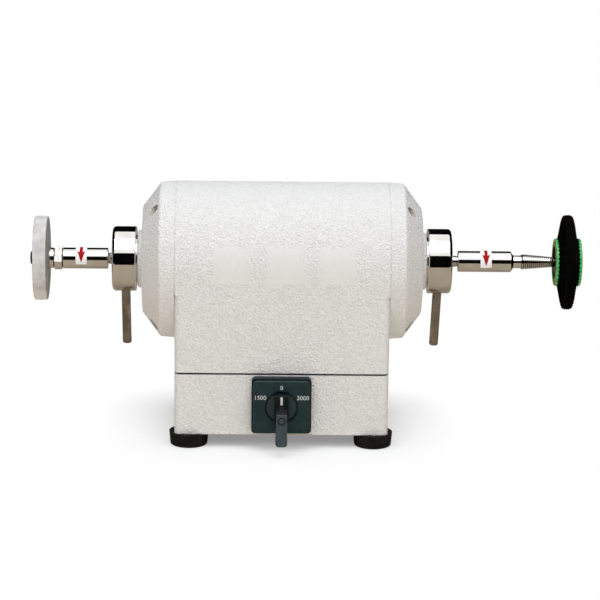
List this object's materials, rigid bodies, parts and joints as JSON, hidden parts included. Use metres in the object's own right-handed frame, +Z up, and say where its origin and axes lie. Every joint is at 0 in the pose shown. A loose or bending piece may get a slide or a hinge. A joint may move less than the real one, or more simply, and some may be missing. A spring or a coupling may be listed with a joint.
{
  "type": "bench polishing machine",
  "caption": "Double-ended bench polishing motor on a footed base, with a felt wheel, a brush on a threaded taper, cam rings that push the spindles off and a rotary switch.",
  "frame": {"origin": "on the bench, under the middle of the motor case, between the four feet", "axes": "+X along the motor shaft towards the brush, -Y towards the front with the switch, +Z up"},
  "size_m": [0.5794, 0.2266, 0.2644],
  "materials": {
    "body_paint": "warm off-white powder coat with a fine texture",
    "plate_steel": "plain zinc-plated sheet",
    "foot_rubber": "matt black moulded rubber",
    "seal_rubber": "dark soft rubber",
    "screw_steel": "dark plated steel",
    "lamination": "stacked electrical steel",
    "winding": "varnished copper wire",
    "end_ring_aluminium": "plain cast aluminium",
    "bearing_steel": "ground steel",
    "shaft_steel": "turned steel",
    "ring_chrome": "polished chrome",
    "lever_steel": "satin steel rod",
    "spindle_chrome": "bright turned steel",
    "wheel_felt": "dense pale grey felt",
    "hub_plastic": "glossy green plastic",
    "bristle": "black bristle",
    "switch_plastic": "dark grey moulded plastic",
    "grip_plastic": "grey moulded plastic",
    "inner_plastic": "plain moulded plastic",
    "gland_plastic": "black moulded plastic"
  },
  "bodies": {
    "machine": {"base_box": "body_paint", "base_bottom_plate": "plate_steel", "foot_front_left": "foot_rubber", "foot_front_right": "foot_rubber", "foot_rear_left": "foot_rubber", "foot_rear_right": "foot_rubber", "foot_screws": "screw_steel", "case_gasket": "seal_rubber", "motor_case": "body_paint", "case_bolts": "screw_steel", "left_end_bell": "body_paint", "right_end_bell": "body_paint", "bell_screws": "screw_steel", "left_nose_flange": "body_paint", "right_nose_flange": "body_paint", "flange_screws": "screw_steel", "left_shaft_seal": "seal_rubber", "right_shaft_seal": "seal_rubber", "stator_core": "lamination", "stator_windings": "winding", "left_bearing_outer_ring": "bearing_steel", "right_bearing_outer_ring": "bearing_steel", "preload_washers": "plate_steel", "ring_circlips": "plate_steel", "switch_frame": "switch_plastic", "switch_dial_plate": "switch_plastic", "switch_contact_block": "inner_plastic", "switch_screws": "screw_steel", "run_capacitor": "end_ring_aluminium", "capacitor_strap": "plate_steel", "terminal_block": "inner_plastic", "cable_gland": "gland_plastic", "gland_nut": "gland_plastic"},
    "rotor": {"motor_shaft": "shaft_steel", "rotor_core": "lamination", "rotor_end_rings": "end_ring_aluminium", "left_bearing_inner_ring": "bearing_steel", "right_bearing_inner_ring": "bearing_steel"},
    "left_balls": {"left_bearing_balls": "bearing_steel"},
    "right_balls": {"right_bearing_balls": "bearing_steel"},
    "left_ejector": {"left_ejector_ring": "ring_chrome", "left_ejector_lever": "lever_steel"},
    "right_ejector": {"right_ejector_ring": "ring_chrome", "right_ejector_lever": "lever_steel"},
    "left_pusher": {"left_pusher": "shaft_steel", "left_pusher_pin": "shaft_steel"},
    "right_pusher": {"right_pusher": "shaft_steel", "right_pusher_pin": "shaft_steel"},
    "left_tool": {"left_arbor": "spindle_chrome", "left_clamp_flange": "spindle_chrome", "polishing_wheel": "wheel_felt", "wheel_screw": "screw_steel"},
    "right_tool": {"right_taper_spindle": "spindle_chrome", "brush_hub": "hub_plastic", "brush_cap": "hub_plastic", "brush_bristles": "bristle"},
    "switch_handle": {"switch_shaft": "shaft_steel", "switch_knob": "switch_plastic", "switch_lever": "grip_plastic", "switch_screw_cap": "switch_plastic"}
  },
  "joints": [
    {"name": "rotor_spin", "type": "hinge", "parent": "machine", "child": "rotor", "pos_m": [0, 0, 0.1819], "axis": [1, 0, 0], "continuous": true},
    {"name": "left_balls_spin", "type": "hinge", "parent": "machine", "child": "left_balls", "pos_m": [0, 0, 0.1819], "axis": [1, 0, 0], "continuous": true},
    {"name": "left_ejector_turn", "type": "hinge", "parent": "machine", "child": "left_ejector", "pos_m": [0, 0, 0.1819], "axis": [-1, 0, 0], "range_deg": [0, 90]},
    {"name": "left_pusher_slide", "type": "slide", "parent": "machine", "child": "left_pusher", "axis": [-1, 0, 0], "range_m": [0, 0.0045]},
    {"name": "left_spindle_off", "type": "slide", "parent": "rotor", "child": "left_tool", "axis": [-1, 0, 0], "range_m": [0, 0.045]},
    {"name": "right_balls_spin", "type": "hinge", "parent": "machine", "child": "right_balls", "pos_m": [0, 0, 0.1819], "axis": [1, 0, 0], "continuous": true},
    {"name": "right_ejector_turn", "type": "hinge", "parent": "machine", "child": "right_ejector", "pos_m": [0, 0, 0.1819], "axis": [-1, 0, 0], "range_deg": [0, 90]},
    {"name": "right_pusher_slide", "type": "slide", "parent": "machine", "child": "right_pusher", "axis": [1, 0, 0], "range_m": [0, 0.007]},
    {"name": "right_spindle_off", "type": "slide", "parent": "rotor", "child": "right_tool", "axis": [1, 0, 0], "range_m": [0, 0.045]},
    {"name": "switch_turn", "type": "hinge", "parent": "machine", "child": "switch_handle", "pos_m": [0, -0.1, 0.048], "axis": [0, -1, 0], "range_deg": [-60, 60]}
  ],
  "couplings": [
    {"joint": "left_balls_spin", "follows": "rotor_spin", "ratio": 0.3961},
    {"joint": "left_pusher_slide", "follows": "left_ejector_turn", "m_per_rad": 0.002864},
    {"joint": "right_balls_spin", "follows": "rotor_spin", "ratio": 0.3961},
    {"joint": "right_pusher_slide", "follows": "right_ejector_turn", "m_per_rad": 0.004456}
  ]
}
